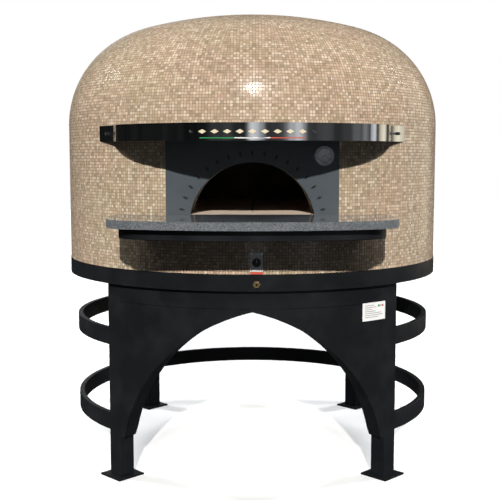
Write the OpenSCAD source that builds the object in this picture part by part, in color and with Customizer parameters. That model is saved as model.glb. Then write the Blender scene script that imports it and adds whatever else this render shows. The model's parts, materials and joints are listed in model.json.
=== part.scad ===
// Wood fired pizza oven: a mosaic-clad dome on a four-legged steel stand.
// Millimetres, +Z up. The origin is on the floor, on the vertical axis of the dome.
// The mouth faces -Y.

/* [Body] */
// Outer radius of the mosaic-clad body
body_r = 840; // [800:5:880]
// Height of the top of the straight wall
wall_z = 1474; // [1465:1:1490]
// Radius of the rounded shoulder of the dome
shoulder_r = 442; // [420:1:460]
// Radius of the flat crown of the dome
crown_r = 1903; // [1700:1:2100]
// Thickness of the mosaic and its adhesive
mosaic_t = 6; // [4:0.5:8]
// Thickness of the rendered outer shell
shell_t = 12; // [8:1:14]

/* [Chamber] */
// Inner radius of the baking chamber
chamber_r = 600; // [570:5:610]
// Thickness of the refractory dome
refractory_t = 90; // [70:5:95]
// Height of the hearth above the floor
hearth_z = 1115; // [1110:1:1120]
// Height of the straight part of the chamber wall above the hearth
chamber_wall_h = 150; // [120:5:160]
// Thickness of the hearth tiles
hearth_tile_t = 60; // [40:5:70]

/* [Mouth] */
// Distance of the flat facade from the axis
facade_y = 770; // [760:1:780]
// Radius of the round mouth arch
mouth_r = 245; // [220:1:250]
// Depth of the arch centre below the hearth
mouth_drop = 43; // [30:1:50]
// Thickness of the facade plate
facade_t = 5; // [4:0.5:5]
// Thickness of the throat arch behind the facade
throat_t = 70; // [50:5:75]

/* [Shelf] */
// Distance of the front of the shelf from the axis
shelf_reach = 1205; // [1120:5:1240]
// Half of the width of the shelf
shelf_half_w = 535; // [520:1:560]
// Radius of the curved front edge of the shelf
shelf_front_r = 1307; // [1200:1:1500]
// Radius of the front corners of the shelf
shelf_corner_r = 165; // [140:5:180]
// Thickness of the granite
granite_t = 30; // [20:1:30]
// Side of the square tube under the granite
frame_tube = 40; // [30:1:50]
// Setback of that tube from the edge of the granite
frame_inset = 45; // [40:1:60]

/* [Hood] */
// Distance of the front of the hood from the axis
hood_reach = 1120; // [1090:5:1140]
// Height of the lower edge of the hood
hood_z = 1400; // [1396:1:1404]
// Height of the hood band
hood_h = 63; // [50:1:64]
// Half of the width of the curved part of the hood
hood_arc_half_w = 548; // [540:1:552]
// Half of the width of the hood at the body
hood_half_w = 622; // [615:1:628]
// Slope of the hood, down towards its front, in degrees
hood_tilt = 0.5; // [0:0.1:1]
// Thickness of the hood's polished sheet
hood_t = 2; // [1.5:0.5:3]

/* [Stand] */
// Height of the underside of the base ring
ring_z = 823; // [815:1:830]
// Height of the base ring's band
ring_h = 66; // [60:1:70]
// Side of the square legs
leg_side = 70; // [60:1:75]
// Distance of each leg's centre from the axis
leg_r = 778; // [770:1:782]
// Side of the square foot plates
foot_side = 130; // [110:1:140]
// Thickness of the foot plates
foot_t = 8; // [5:1:12]
// Height of the rail bars
rail_h = 72; // [60:1:80]
// Thickness of the rail bars
rail_t = 22; // [15:1:25]
// Height of the underside of the lower rails
rail_low_z = 196; // [180:1:220]
// Height of the underside of the upper rails
rail_high_z = 559; // [520:1:580]
// Radius of each half of the pointed arch in the apron
arch_r = 700; // [680:1:720]
// Distance of each half arch's centre beyond the middle of the apron
arch_offset = 160; // [150:1:170]
// Height of the centres of the half arches
arch_z = 56; // [40:1:60]

/* [Flue] */
// Distance of the flue outlet behind the axis
flue_y = 300; // [280:5:310]
// Inner radius of the flue collar
flue_r = 98; // [90:1:100]
// Height of the top of the flue collar
flue_top = 1995; // [1990:1:2010]

/* [Instruments] */
// Sideways place of the thermometer
gauge_x = 278; // [275:1:285]
// Height of the thermometer
gauge_z = 1342; // [1338:1:1345]
// Radius of the thermometer's bezel
gauge_r = 38.5; // [36:0.5:42]
// Sideways place of the control plate
control_x = 16; // [0:1:20]
// Height of the middle of the control plate
control_z = 938; // [936:1:942]
// Radius of the control knob
knob_r = 16.5; // [14:0.5:20]

/* [Hidden] */
$fn = 96;
eps = 0.3;
big = 3000;
body_bottom = ring_z + ring_h;
plate_t = 5;
flange_t = 6;
base_z = ring_z + flange_t;
floor_z = base_z + plate_t;
shell_r = body_r - mosaic_t;
fill_r = shell_r - shell_t;
chamber_wall_z = hearth_z + chamber_wall_h;
chamber_shoulder_r = 210;
chamber_crown_r = 1500;
board_z = hearth_z - hearth_tile_t;
slab_z = (floor_z + board_z) / 2 + 10;
cut_top = hood_z + 30;
cut_half_w = sqrt(body_r * body_r - facade_y * facade_y);
facade_back = facade_y - facade_t;
arch_z0 = hearth_z - mouth_drop;
granite_z = hearth_z - granite_t;
tube_z = granite_z - frame_tube;
jamb_depth = 400;
jamb_y = jamb_depth / 2 + 10 - facade_back;
hood_top_z = hood_z + hood_h - 3;
hood_mid_z = hood_z + hood_h / 2;
hood_end_depth = 118;
hood_tip_y = -sqrt(pow(body_r, 2) - pow(hood_half_w, 2));
hood_bend_y = hood_tip_y - hood_end_depth;
hood_sag = hood_reach + hood_bend_y;
hood_arc_r = (pow(hood_arc_half_w, 2) + pow(hood_sag, 2)) / (2 * hood_sag);
nut_x = 218;
ornament_pitch = 44;
ring_r = body_r + 2;
ring_t = 6;
flange_r = 734;
leg_half_angle = asin(leg_side / 2 / leg_r);
leg_out = leg_r + leg_side / 2;
leg_in = leg_r - leg_side / 2;
apron_t = 3;
arch_steps = 36;
arch_end = 45 - leg_half_angle - 0.1;
apron_low = 178;
seam_z = 749;
tube_wall = 3;
beam_h = 60;
beam_w = 60;
duct_w = 260;
duct_d = 70;
duct_y = -700;
duct_wall = 3;
riser_z = 1335;
run_z = 1645;
run_h = 80;
run_front = -722;
pipe_wall = 2;
weather_z = 1900;
weather_h = 72;
weather_r = 135;
label_z = 678;
label_h = 74;
knob_h = 18;
knob_z = control_z - 3;
knob_shaft_r = 4;
housing_half_w = 22;
housing_half_h = 32;
housing_back = 62;
case_r = 31;
case_depth = 30;
stem_r = 4;
stem_end = 490;

SIDES = [-1, 1];
BLACK = [0.09, 0.09, 0.1];
STEEL = [0.72, 0.73, 0.75];
TILE = [0.78, 0.68, 0.56];

// ---------- shared shapes ----------

// Half of the section of a domed solid: straight wall, round shoulder and flat crown.
module dome_section(r, low, wall, shoulder, crown) {
    // the crown's circle touches the shoulder's circle from outside
    lift = sqrt(pow(crown - shoulder, 2) - pow(r - shoulder, 2));
    crown_centre = wall - lift;
    touch_x = (r - shoulder) * crown / (crown - shoulder);
    square_h = wall - low;
    translate([0, low]) square([r, square_h]);
    intersection() {
        translate([0, crown_centre]) circle(crown, $fn = 480);
        translate([0, wall - 1]) square([touch_x, big]);
    }
    intersection() {
        translate([r - shoulder, wall]) circle(shoulder, $fn = 240);
        translate([0, wall - 1]) square([r, big]);
    }
}

module dome_solid(r, low, wall, shoulder, crown) {
    rotate_extrude($fn = 180) dome_section(r, low, wall, shoulder, crown);
}

// The body's outer form, drawn inwards by inset.
module body_form(inset, low) {
    dome_solid(body_r - inset, low, wall_z, shoulder_r - inset, crown_r - inset);
}

// The refractory's form, grown outwards from the chamber by t.
module chamber_form(t, low) {
    dome_solid(chamber_r + t, low, chamber_wall_z, chamber_shoulder_r + t, chamber_crown_r + t);
}

module ring(outer, inner, z, h) {
    translate([0, 0, z]) difference() {
        cylinder(r = outer, h = h, $fn = 128);
        translate([0, 0, -1]) cylinder(r = inner, h = h + 2, $fn = 128);
    }
}

// A ring of angle, centred on the direction mid, measured from +X.
module ring_arc(outer, inner, z, h, mid, half) {
    translate([0, 0, z]) rotate([0, 0, mid - half])
        rotate_extrude(angle = 2 * half, $fn = 128)
            translate([inner, 0]) square([outer - inner, h]);
}

// A cylinder that lies along Y, from y0 to y1.
module along_y(r, x, z, y0, y1) {
    translate([x, y0, z]) rotate([-90, 0, 0]) cylinder(r = r, h = y1 - y0);
}

module box(x0, x1, y0, y1, z0, z1) {
    translate([x0, y0, z0]) cube([x1 - x0, y1 - y0, z1 - z0]);
}

// Everything cut out of the body's skins for the flat facade, down to extra behind the plate.
module facade_recess(extra = 0) {
    box(-cut_half_w, cut_half_w, -big / 2, -facade_back + extra, granite_z, cut_top);
}

// The round tunnel from the facade to the chamber, above the hearth only.
module tunnel(r) {
    intersection() {
        along_y(r, 0, arch_z0, -facade_y - 40, -300);
        box(-r - 1, r + 1, -facade_y - 50, -290, hearth_z, hearth_z + r);
    }
}

module duct_hole(gap) {
    box(-duct_w / 2 - gap, duct_w / 2 + gap, duct_y - duct_d / 2 - gap, duct_y + duct_d / 2 + gap,
        riser_z - gap - 60, run_z + 5);
    box(-duct_w / 2 - gap, duct_w / 2 + gap, run_front - gap, flue_y + 130 + gap,
        run_z - gap, run_z + run_h + gap);
    translate([0, flue_y, run_z]) cylinder(r = flue_r + pipe_wall + gap, h = big);
}

module stem_hole(gap) {
    along_y(stem_r + gap, gauge_x, gauge_z, -facade_y - 10, -stem_end + 10);
    along_y(case_r + gap, gauge_x, gauge_z, -facade_y - 10, -facade_back + case_depth + 2);
}

module control_hole(gap) {
    box(control_x - housing_half_w - gap, control_x + housing_half_w + gap,
        -big / 2, -body_r + housing_back + gap,
        control_z - housing_half_h - gap, control_z + housing_half_h + gap);
}

// ---------- stand ----------

module square_tube(side, wall, h) {
    difference() {
        translate([-side / 2, -side / 2, 0]) cube([side, side, h]);
        translate([wall - side / 2, wall - side / 2, -1])
            cube([side - 2 * wall, side - 2 * wall, h + 2]);
    }
}

module leg(angle) {
    color(BLACK) rotate([0, 0, angle]) translate([leg_r, 0, foot_t])
        square_tube(leg_side, tube_wall, ring_z - foot_t);
}

module foot(angle) {
    color(BLACK) rotate([0, 0, angle]) translate([leg_r, 0, 0])
        translate([-foot_side / 2, -foot_side / 2, 0]) cube([foot_side, foot_side, foot_t]);
}

module leg_front_left() { leg(225); }
module leg_front_right() { leg(315); }
module leg_rear_left() { leg(135); }
module leg_rear_right() { leg(45); }
module foot_front_left() { foot(225); }
module foot_front_right() { foot(315); }
module foot_rear_left() { foot(135); }
module foot_rear_right() { foot(45); }

// A flat bar bent to an arc, from one leg's side to the next leg's side.
module rail(z, mid) {
    color(BLACK) difference() {
        ring_arc(leg_out, leg_out - rail_t, z, rail_h, mid, 45);
        for (side = SIDES) rotate([0, 0, mid + side * 45])
            translate([leg_r, 0, z + rail_h / 2]) cube([2 * leg_side, leg_side, big], center = true);
    }
}

module rail_upper_left() { rail(rail_high_z, 180); }
module rail_upper_rear() { rail(rail_high_z, 90); }
module rail_upper_right() { rail(rail_high_z, 0); }
module rail_lower_left() { rail(rail_low_z, 180); }
module rail_lower_rear() { rail(rail_low_z, 90); }
module rail_lower_right() { rail(rail_low_z, 0); }

module base_ring() {
    color(BLACK) difference() {
        rotate_extrude($fn = 128) {
            translate([ring_r - ring_t, ring_z]) square([ring_t, ring_h]);
            translate([flange_r, ring_z]) square([ring_r - flange_r, flange_t]);
        }
        along_y(7.6, control_x, ring_z + ring_h / 2 - 4, -big / 2, -body_r + 40);
    }
}

module base_plate() {
    color(BLACK) translate([0, 0, base_z]) cylinder(r = ring_r - ring_t - 1, h = plate_t, $fn = 128);
}

module beam(x0, x1) {
    translate([x0, 0, base_z - beam_h / 2 - 0.1]) rotate([0, 90, 0])
        square_tube(beam_h, tube_wall, x1 - x0);
}

module cross_beam_long() {
    color(BLACK) rotate([0, 0, 45]) beam(1 - flange_r, flange_r - 1);
}

module cross_beam_front() {
    color(BLACK) rotate([0, 0, 315]) beam(beam_w / 2, flange_r - 1);
}

module cross_beam_rear() {
    color(BLACK) rotate([0, 0, 135]) beam(beam_w / 2, flange_r - 1);
}

// The pointed opening under the apron's outer sheet.
module pointed_arch() {
    intersection() {
        along_y(arch_r, -arch_offset, arch_z, -big / 2, 0);
        along_y(arch_r, arch_offset, arch_z, -big / 2, 0);
    }
}

// Height of the arch at an angle a from the middle of the apron. It levels out beside the legs.
function arch_height(a) = let (x = leg_out * sin(a) + arch_offset)
    x < arch_r ? max(apron_low, arch_z + sqrt(pow(arch_r, 2) - pow(x, 2))) : apron_low;

// The same opening where the radial soffit meets the inner sheet.
module inner_arch() {
    right = [for (i = [0 : arch_steps]) let (a = arch_end * i / arch_steps)
        [(leg_in + apron_t) * sin(a), arch_height(a)]];
    left = [for (i = [arch_steps : -1 : 1]) let (a = arch_end * i / arch_steps)
        [-(leg_in + apron_t) * sin(a), arch_height(a)]];
    corners = [[600, arch_height(arch_end)], [600, -10], [-600, -10], [-600, arch_height(arch_end)]];
    rotate([90, 0, 0]) linear_extrude(height = big / 2) polygon(concat(right, corners, left));
}

module apron_arc(outer, inner, z0, z1) {
    difference() {
        ring_arc(outer, inner, z0, z1 - z0, 270, 45);
        for (side = SIDES) rotate([0, 0, 270 + side * 45])
            translate([leg_r, 0, (z0 + z1) / 2]) cube([2 * leg_side, leg_side, big], center = true);
    }
}

module apron_band() {
    color(BLACK) {
        apron_arc(leg_out, leg_out - apron_t, seam_z + 1, ring_z);
        apron_arc(leg_out, leg_in, ring_z - apron_t, ring_z);
    }
}

module apron_outer() {
    color(BLACK) difference() {
        apron_arc(leg_out, leg_out - apron_t, apron_low, seam_z);
        pointed_arch();
    }
}

module apron_inner() {
    color(BLACK) difference() {
        apron_arc(leg_in + apron_t, leg_in, apron_low, ring_z - apron_t);
        inner_arch();
    }
}

// The strip that closes the gap between the two sheets along one half of the arch.
module apron_soffit(side) {
    outer = leg_out - apron_t - 0.1;
    inner = leg_in + apron_t + 0.1;
    angles = [for (i = [0 : arch_steps]) 0.05 + (arch_end - 0.05) * i / arch_steps];
    points = [for (a = angles) each [for (corner = [[outer, 0], [outer, apron_t], [inner, apron_t], [inner, 0]])
        [side * corner[0] * sin(a), -corner[0] * cos(a), arch_height(a) + corner[1]]]];
    walls = [for (i = [0 : arch_steps - 1], j = [0 : 3], half = [0, 1])
        let (k = (j + 1) % 4, a = 4 * i + j, b = 4 * i + k, c = 4 * i + 4 + k, d = 4 * i + 4 + j)
        half == 0 ? [a, b, c] : [a, c, d]];
    last = 4 * arch_steps;
    ends = [[3, 2, 1], [3, 1, 0], [last, last + 1, last + 2], [last, last + 2, last + 3]];
    faces = concat(walls, ends);
    color(BLACK) polyhedron(points, side > 0 ? faces : [for (f = faces) [f[2], f[1], f[0]]]);
}

module apron_soffit_left() { apron_soffit(-1); }
module apron_soffit_right() { apron_soffit(1); }

module data_plate() {
    color("white") ring_arc(leg_out + 1.3, leg_out + 0.1, label_z, label_h, 307.5, 4.5);
}

module brass_port() {
    z = ring_z + ring_h / 2 - 4;
    color([0.78, 0.6, 0.3]) {
        difference() {
            union() {
                translate([control_x, -ring_r - 12, z]) rotate([-90, 0, 0])
                    cylinder(r = 15, h = 11.5, $fn = 6);
                along_y(7.5, control_x, z, -ring_r - 3, -ring_r + ring_t);
                along_y(9, control_x, z, -ring_r - 18, -ring_r - 12);
            }
            along_y(4, control_x, z, -ring_r - 19, -ring_r + ring_t + 1);
        }
    }
}

// ---------- body ----------

module outer_shell() {
    color([0.6, 0.58, 0.55]) difference() {
        body_form(mosaic_t, floor_z);
        body_form(mosaic_t + shell_t, floor_z - 1);
        facade_recess(12);
        duct_hole(0.5);
        control_hole(0.5);
    }
}

module mosaic_skin() {
    color(TILE) difference() {
        body_form(0, body_bottom);
        body_form(mosaic_t, body_bottom - 1);
        facade_recess();
        duct_hole(0.5);
        control_hole(0.5);
    }
}

module insulation_fill() {
    color([0.9, 0.88, 0.8]) difference() {
        body_form(mosaic_t + shell_t, board_z);
        chamber_form(refractory_t, board_z - 1);
        facade_recess();
        tunnel(mouth_r + throat_t);
        box(-mouth_r - throat_t, mouth_r + throat_t, -big / 2, 0, board_z - 1, hearth_z + 1);
        duct_hole(0.5);
        stem_hole(0.4);
    }
}

module floor_slab() {
    color([0.75, 0.74, 0.7]) difference() {
        translate([0, 0, floor_z]) cylinder(r = fill_r, h = slab_z - floor_z, $fn = 128);
        control_hole(0.5);
    }
}

module hearth_board() {
    color([0.92, 0.9, 0.84]) difference() {
        translate([0, 0, slab_z]) cylinder(r = fill_r, h = board_z - slab_z, $fn = 128);
        control_hole(0.5);
    }
}

module refractory_dome() {
    color([0.8, 0.66, 0.52]) difference() {
        chamber_form(refractory_t, board_z);
        chamber_form(0, board_z - 1);
        tunnel(mouth_r);
        box(-mouth_r - 2, mouth_r + 2, -big / 2, 0, board_z - 1, hearth_z + 1);
        duct_hole(0.5);
        stem_hole(0.4);
    }
}

module hearth_tile(sx, sy) {
    joint = 1;
    color([0.86, 0.72, 0.6]) intersection() {
        translate([0, 0, board_z]) cylinder(r = chamber_r - joint, h = hearth_tile_t, $fn = 128);
        translate([sx * (big / 2 + joint), sy * (big / 2 + joint), hearth_z])
            cube([big, big, big], center = true);
    }
}

module hearth_tile_front_left() { hearth_tile(-1, -1); }
module hearth_tile_front_right() { hearth_tile(1, -1); }
module hearth_tile_rear_left() { hearth_tile(-1, 1); }
module hearth_tile_rear_right() { hearth_tile(1, 1); }

// The refractory block that carries the hearth level out to the facade.
module throat_floor() {
    color([0.84, 0.7, 0.58]) difference() {
        box(-mouth_r, mouth_r, -facade_back, -chamber_r + 80, board_z, hearth_z);
        translate([0, 0, board_z - 1]) cylinder(r = chamber_r, h = hearth_tile_t + 2, $fn = 128);
    }
}

module throat_arch() {
    color([0.74, 0.6, 0.48]) difference() {
        intersection() {
            union() {
                tunnel(mouth_r + throat_t);
                for (side = SIDES)
                    translate([side * (mouth_r + throat_t / 2 + 1), jamb_y, (board_z + hearth_z) / 2 + 1])
                        cube([throat_t - 4, jamb_depth, hearth_tile_t], center = true);
            }
            box(-big / 2, big / 2, -facade_back, 0, board_z, big);
        }
        tunnel(mouth_r);
        chamber_form(refractory_t, board_z - 1);
        duct_hole(0.5);
    }
}

module facade_plate() {
    color([0.36, 0.4, 0.43]) difference() {
        box(-cut_half_w + eps, cut_half_w - eps, -facade_y, -facade_back, granite_z, cut_top - 1);
        tunnel(mouth_r);
        along_y(case_r + 0.4, gauge_x, gauge_z, -facade_y - 5, -facade_back + 5);
    }
}

// ---------- flue ----------

module flue_riser() {
    color(STEEL) difference() {
        box(-duct_w / 2, duct_w / 2, duct_y - duct_d / 2, duct_y + duct_d / 2, riser_z, run_z);
        box(duct_wall - duct_w / 2, duct_w / 2 - duct_wall, duct_y - duct_d / 2 + duct_wall,
            duct_y + duct_d / 2 - duct_wall, riser_z - 1, run_z - duct_wall);
        box(duct_wall - duct_w / 2, duct_w / 2 - duct_wall, run_front + duct_wall,
            duct_y + duct_d / 2 - duct_wall, run_z - duct_wall - 1, run_z + 1);
    }
}

module flue_run() {
    color(STEEL) difference() {
        box(-duct_w / 2, duct_w / 2, run_front, flue_y + 130, run_z, run_z + run_h);
        box(duct_wall - duct_w / 2, duct_w / 2 - duct_wall, run_front + duct_wall,
            flue_y + 130 - duct_wall, run_z + duct_wall, run_z + run_h - duct_wall);
        box(duct_wall - duct_w / 2, duct_w / 2 - duct_wall, run_front + duct_wall,
            duct_y + duct_d / 2 - duct_wall, run_z - 1, run_z + duct_wall + 1);
        translate([0, flue_y, run_z + run_h / 2]) cylinder(r = flue_r, h = run_h);
    }
}

module flue_pipe() {
    color(STEEL) translate([0, flue_y, run_z + run_h]) difference() {
        cylinder(r = flue_r + pipe_wall, h = flue_top - run_z - run_h);
        translate([0, 0, -1]) cylinder(r = flue_r, h = flue_top - run_z - run_h + 2);
    }
}

// The flat ring that weathers the pipe where it leaves the dome.
module flue_flange() {
    color(STEEL) difference() {
        translate([0, flue_y, weather_z]) cylinder(r = weather_r, h = weather_h);
        translate([0, flue_y, weather_z - 1]) cylinder(r = flue_r + pipe_wall + eps, h = weather_h + 2);
        body_form(-eps, body_bottom);
    }
}

// ---------- hood ----------

// The hood's outline seen from above, drawn inwards by inset: an arc between two bends, then straight ends
// that run back to the body.
module hood_outline(inset) {
    bend_x = hood_arc_half_w - inset;
    tip_x = hood_half_w - inset;
    front_y = -hood_reach - 10;
    back_y = hood_tip_y + 60;
    centre_y = hood_arc_r - hood_reach;
    difference() {
        polygon([[-bend_x, front_y], [-bend_x, hood_bend_y], [-tip_x, hood_tip_y], [-tip_x, back_y],
            [tip_x, back_y], [tip_x, hood_tip_y], [bend_x, hood_bend_y], [bend_x, front_y]]);
        difference() {
            translate([-big, -big]) square([2 * big, big + hood_bend_y]);
            translate([0, centre_y]) circle(norm([bend_x, hood_bend_y - centre_y]), $fn = 360);
        }
    }
}

// Slopes the hood about the line where its ends meet the body.
module sloped() {
    translate([0, hood_tip_y, hood_z]) rotate([hood_tilt, 0, 0]) translate([0, -hood_tip_y, -hood_z]) children();
}

module hood_band() {
    color(STEEL) difference() {
        sloped() difference() {
            translate([0, 0, hood_z]) linear_extrude(height = hood_h) hood_outline(0);
            translate([0, 0, hood_z - 1]) linear_extrude(height = hood_h + 2) hood_outline(hood_t);
        }
        cylinder(r = body_r + eps, h = big, $fn = 360);
        box(-big, big, 0, big, 0, big);
    }
}

module hood_top() {
    color(STEEL) difference() {
        sloped() translate([0, 0, hood_top_z]) linear_extrude(height = 2) hood_outline(hood_t + 0.2);
        cylinder(r = body_r + eps, h = big, $fn = 360);
        box(-big, big, 0, big, 0, big);
    }
}

// A domed nut whose seat is at the origin and whose dome points along -Y.
module dome_nut() {
    rotate([90, 0, 0]) {
        cylinder(r = 7, h = 4, $fn = 6);
        translate([0, 0, 3]) intersection() {
            sphere(r = 5.5);
            cylinder(r = 6, h = 6);
        }
    }
}

// Places a child on the face of the hood's arc, at a distance x to one side of the middle.
module on_hood_arc(x, side) {
    translate([0, hood_arc_r - hood_reach, hood_mid_z]) rotate([0, 0, side * asin(x / hood_arc_r)])
        translate([0, -hood_arc_r - eps, 0]) children();
}

module dome_nuts() {
    end_x = (hood_arc_half_w + hood_half_w) / 2;
    end_y = (hood_bend_y + hood_tip_y) / 2;
    end_turn = atan2(hood_end_depth, hood_half_w - hood_arc_half_w);
    color([0.85, 0.85, 0.87]) sloped() for (side = SIDES) {
        on_hood_arc(nut_x, side) dome_nut();
        translate([side * end_x, end_y, hood_mid_z]) rotate([0, 0, side * end_turn])
            translate([0, -eps, 0]) dome_nut();
    }
}

// Plain lozenges along the middle of the hood.
module hood_ornaments() {
    color([0.93, 0.86, 0.68]) sloped() for (i = [-4 : 4])
        on_hood_arc(abs(i) * ornament_pitch, i < 0 ? -1 : 1)
            rotate([90, 0, 0]) linear_extrude(height = 1.5)
                polygon([[-15, 0], [0, -8], [15, 0], [0, 8]]);
}

// ---------- shelf ----------

// Points along an arc round (cx, cy), in steps steps, without its last point.
function arc(cx, cy, r, start, end, steps) = [for (i = [0 : steps - 1])
    let (a = start + (end - start) * i / steps) [cx + r * cos(a), cy + r * sin(a)]];

// The shelf's outline seen from above, drawn inwards by inset: a front arc between two rounded corners.
module shelf_outline(inset, back) {
    front_r = shelf_front_r - inset;
    corner = shelf_corner_r - inset;
    half_w = shelf_half_w - inset;
    centre_y = shelf_front_r - shelf_reach;
    corner_x = half_w - corner;
    corner_y = centre_y - sqrt(pow(front_r - corner, 2) - pow(corner_x, 2));
    half_turn = asin(corner_x / (front_r - corner));
    polygon(concat(
        arc(-corner_x, corner_y, corner, 180, 270 - half_turn, 20),
        arc(0, centre_y, front_r, 270 - half_turn, 270 + half_turn, 40),
        arc(corner_x, corner_y, corner, 270 + half_turn, 360, 20),
        [[half_w, corner_y], [half_w, back], [-half_w, back]]));
}

module granite_shelf() {
    color([0.45, 0.48, 0.5]) difference() {
        translate([0, 0, granite_z]) linear_extrude(height = granite_t)
            shelf_outline(0, -facade_y - eps);
        difference() {
            translate([0, 0, granite_z - 1]) cylinder(r = body_r + eps, h = granite_t + 2, $fn = 128);
            box(-cut_half_w + eps, cut_half_w - eps, -big, -facade_y + 1, 0, big);
        }
    }
}

module shelf_frame() {
    color(BLACK) difference() {
        translate([0, 0, tube_z]) linear_extrude(height = frame_tube)
            shelf_outline(frame_inset, -500);
        translate([0, 0, tube_z - 1]) linear_extrude(height = frame_tube + 2)
            shelf_outline(frame_inset + frame_tube, 10);
        cylinder(r = body_r + eps, h = big, $fn = 360);
    }
}

// ---------- instruments ----------

module gauge_ring(outer, inner, y0, y1) {
    difference() {
        along_y(outer, gauge_x, gauge_z, y0, y1);
        along_y(inner, gauge_x, gauge_z, y0 - 1, y1 + 1);
    }
}

module thermometer_case() {
    color(STEEL) difference() {
        along_y(case_r, gauge_x, gauge_z, -facade_y - 8, -facade_back + case_depth);
        along_y(case_r - 3, gauge_x, gauge_z, -facade_y - 9, -facade_back + case_depth - 3);
        along_y(stem_r + 0.05, gauge_x, gauge_z, -facade_y, -facade_back + case_depth + 10);
    }
}

module thermometer_bezel() {
    color([0.5, 0.52, 0.54]) {
        gauge_ring(gauge_r, case_r + 0.05, -facade_y - 6, -facade_y);
        gauge_ring(gauge_r - 3, case_r - 4, -facade_y - 11, -facade_y - 8.01);
        gauge_ring(gauge_r - 3, case_r + 0.05, -facade_y - 8.01, -facade_y - 6);
    }
}

module thermometer_dial() {
    color("white") gauge_ring(case_r - 3.2, 1.6, -facade_y + 3, -facade_y + 4);
}

module thermometer_needle() {
    color("red") translate([gauge_x, -facade_y + 1, gauge_z]) rotate([90, 0, 0]) {
        rotate([0, 0, 215]) linear_extrude(height = 0.8)
            polygon([[-7, -1.4], [-7, 1.4], [0, 1.8], [20, 0.5], [20, -0.5], [0, -1.8]]);
        translate([0, 0, -8]) cylinder(r = 1.5, h = 10);
    }
}

module thermometer_glass() {
    color([0.8, 0.9, 0.95, 0.4]) along_y(case_r - 3.2, gauge_x, gauge_z, -facade_y - 8, -facade_y - 5.5);
}

module thermometer_stem() {
    color(STEEL) along_y(stem_r, gauge_x, gauge_z, -facade_back + 20, -stem_end);
}

module control_plate() {
    color([0.86, 0.87, 0.88]) difference() {
        box(control_x - 25, control_x + 25, -body_r - 3, -body_r - 0.8, control_z - 37, control_z + 37);
        along_y(knob_shaft_r + 0.2, control_x, knob_z, -body_r - 5, -body_r + 5);
    }
}

module control_housing() {
    color([0.2, 0.2, 0.2]) difference() {
        box(control_x - housing_half_w, control_x + housing_half_w, -body_r - 0.8, -body_r + housing_back,
            control_z - housing_half_h, control_z + housing_half_h);
        along_y(knob_shaft_r + 0.05, control_x, knob_z, -body_r - 2, -body_r + 40);
    }
}

// A round skirt with a flat finger grip across it.
module control_knob() {
    color([0.05, 0.05, 0.05]) difference() {
        union() {
            along_y(knob_r, control_x, knob_z, -body_r - 9, -body_r - 3.4);
            along_y(knob_r - 3, control_x, knob_z, -body_r - 3.4 - knob_h, -body_r - 9);
            along_y(knob_shaft_r, control_x, knob_z, -body_r - 9, -body_r + 30);
        }
        for (side = SIDES) translate([control_x + side * 13, -body_r - 18, knob_z])
            cube([16, 16, 60], center = true);
    }
}

module plate_screws() {
    color([0.75, 0.75, 0.75]) for (sx = SIDES, sz = SIDES)
        translate([control_x + sx * 20, -body_r - 3, control_z + sz * 32]) rotate([90, 0, 0])
            cylinder(r = 2.2, h = 1.2);
}

// A plain warning-coloured strip between the control plate and the ring.
module marking_strip() {
    color([0.8, 0.15, 0.12]) box(control_x - 24, control_x + 24, -body_r - 1.6, -body_r - 0.6, 890, 899);
}

base_ring();
base_plate();
cross_beam_long();
cross_beam_front();
cross_beam_rear();
leg_front_left();
leg_front_right();
leg_rear_left();
leg_rear_right();
foot_front_left();
foot_front_right();
foot_rear_left();
foot_rear_right();
rail_upper_left();
rail_upper_rear();
rail_upper_right();
rail_lower_left();
rail_lower_rear();
rail_lower_right();
apron_band();
apron_outer();
apron_inner();
apron_soffit_left();
apron_soffit_right();
data_plate();
brass_port();
floor_slab();
hearth_board();
hearth_tile_front_left();
hearth_tile_front_right();
hearth_tile_rear_left();
hearth_tile_rear_right();
throat_floor();
refractory_dome();
throat_arch();
insulation_fill();
outer_shell();
mosaic_skin();
facade_plate();
flue_riser();
flue_run();
flue_pipe();
flue_flange();
hood_band();
hood_top();
dome_nuts();
hood_ornaments();
granite_shelf();
shelf_frame();
thermometer_case();
thermometer_bezel();
thermometer_dial();
thermometer_needle();
thermometer_glass();
thermometer_stem();
control_plate();
control_housing();
control_knob();
plate_screws();
marking_strip();
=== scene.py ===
"""Wood fired pizza oven: looks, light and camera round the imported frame. Metres, +Z up, mouth towards -Y."""
import json
import math
import random

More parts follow.
